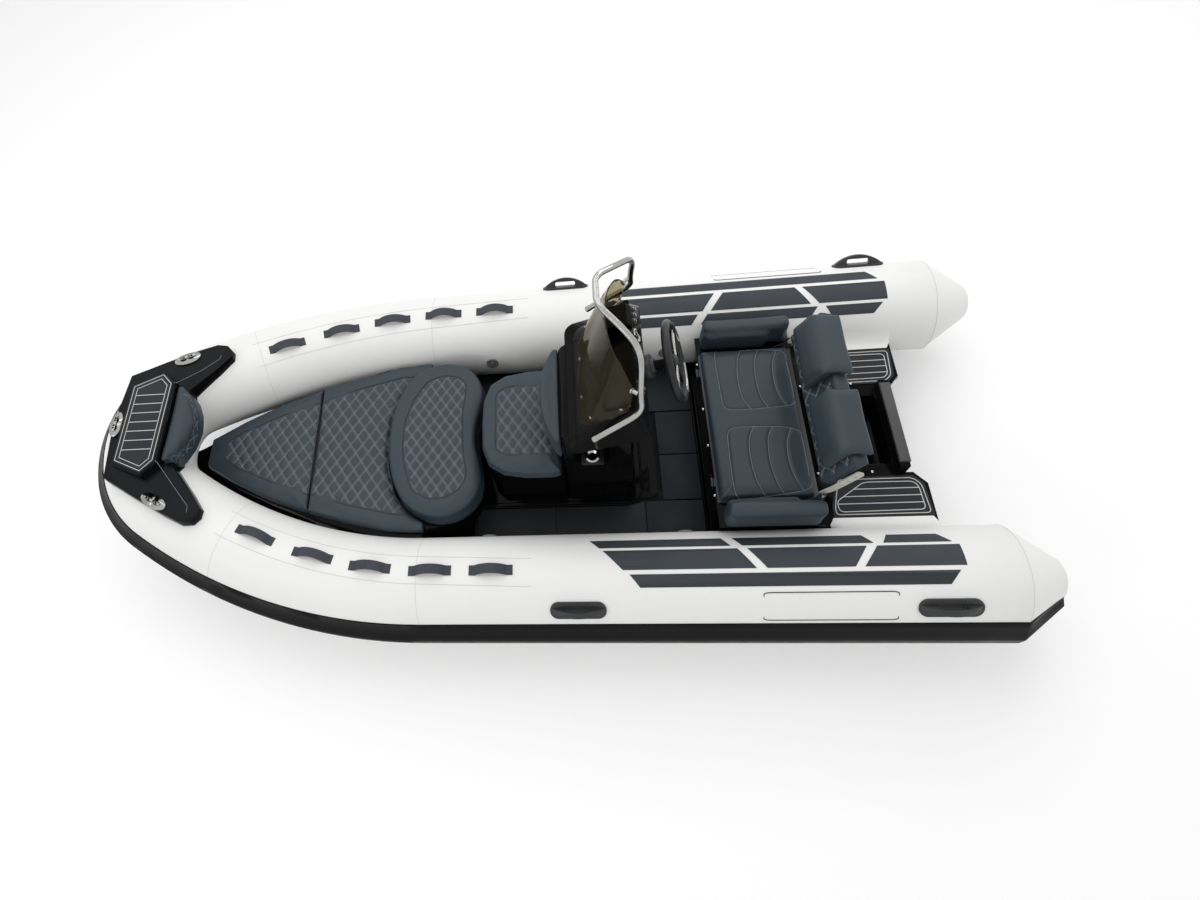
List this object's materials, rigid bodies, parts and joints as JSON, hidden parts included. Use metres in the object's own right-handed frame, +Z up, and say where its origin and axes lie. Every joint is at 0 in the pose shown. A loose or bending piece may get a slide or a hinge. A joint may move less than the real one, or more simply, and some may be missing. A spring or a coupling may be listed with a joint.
{
  "type": "rigid inflatable boat",
  "caption": "Rigid inflatable boat with a white tube collar, black moulded hull and deck, bow cushions, steering console with smoked screen, and a helm bench with folding backrest.",
  "frame": {"origin": "on the waterline, on the centreline, about amidships", "axes": "+X towards the bow, +Y to port, +Z up"},
  "size_m": [4.611, 2.0058, 1.819],
  "materials": {
    "tube_fabric": "satin coated fabric",
    "strake_rubber": "matt ribbed rubber",
    "grip_rubber": "matt textured rubber",
    "webbing": "woven webbing",
    "handle_rubber": "satin moulded rubber",
    "black_gelcoat": "polished gelcoat",
    "step_gelcoat": "polished gelcoat",
    "foam_deck": "brushed closed cell foam",
    "upholstery": "marine vinyl, stitched",
    "stainless": "polished stainless steel",
    "smoked_acrylic": "smoked clear acrylic",
    "black_plastic": "satin moulded plastic",
    "cap_grey": "satin moulded plastic",
    "bracket_alloy": "painted alloy bar"
  },
  "bodies": {
    "boat": {"hull": "black_gelcoat", "deck": "black_gelcoat", "stern_deck": "black_gelcoat", "transom_cap": "cap_grey", "tube_port": "tube_fabric", "tube_starboard": "tube_fabric", "tube_port_fore": "tube_fabric", "tube_starboard_fore": "tube_fabric", "tube_bow": "tube_fabric", "rubbing_strake": "strake_rubber", "grip_patches_port": "grip_rubber", "grip_patches_starboard": "grip_rubber", "strap_handles_port": "webbing", "strap_handles_starboard": "webbing", "side_handles_port": "handle_rubber", "side_handles_starboard": "handle_rubber", "bow_step": "step_gelcoat", "bow_step_pad": "foam_deck", "bow_cleats": "stainless", "bow_backrest": "upholstery", "bow_cushion_fore": "upholstery", "bow_cushion_aft": "upholstery", "kidney_cushion": "upholstery", "console_seat_box": "black_gelcoat", "console_bolster": "upholstery", "console_base": "black_gelcoat", "console_cowl": "black_gelcoat", "windscreen": "smoked_acrylic", "windscreen_rail": "stainless", "instrument_pod": "black_plastic", "helm": "black_plastic", "fuel_filler": "stainless", "floor_pads": "foam_deck", "bench_box": "black_gelcoat", "bench_armrests": "upholstery", "platform_pads": "foam_deck", "towing_eyes": "stainless"},
    "wheel": {"steering_wheel": "black_plastic"},
    "console_lid": {"console_seat_lid": "black_gelcoat", "console_seat_cushion": "upholstery"},
    "bench_top": {"bench_lid": "black_gelcoat", "bench_cushion": "upholstery"},
    "backrest": {"backrest_arms": "bracket_alloy", "backrest_panel": "upholstery", "backrest_bolsters": "upholstery"}
  },
  "joints": [
    {"name": "steering", "type": "hinge", "parent": "boat", "child": "wheel", "pos_m": [-0.67, 0, 1.09], "axis": [-0.9563, 0, 0.2924], "range_deg": [-540, 540]},
    {"name": "console_seat_hinge", "type": "hinge", "parent": "boat", "child": "console_lid", "pos_m": [0.212, 0, 0.548], "axis": [0, 1, 0], "range_deg": [0, 80]},
    {"name": "bench_hinge", "type": "hinge", "parent": "boat", "child": "bench_top", "pos_m": [-0.856, 0, 0.456], "axis": [0, 1, 0], "range_deg": [0, 50]},
    {"name": "backrest_hinge", "type": "hinge", "parent": "bench_top", "child": "backrest", "pos_m": [-1.307, 0, 0.545], "axis": [0, 1, 0], "range_deg": [0, 75]}
  ]
}
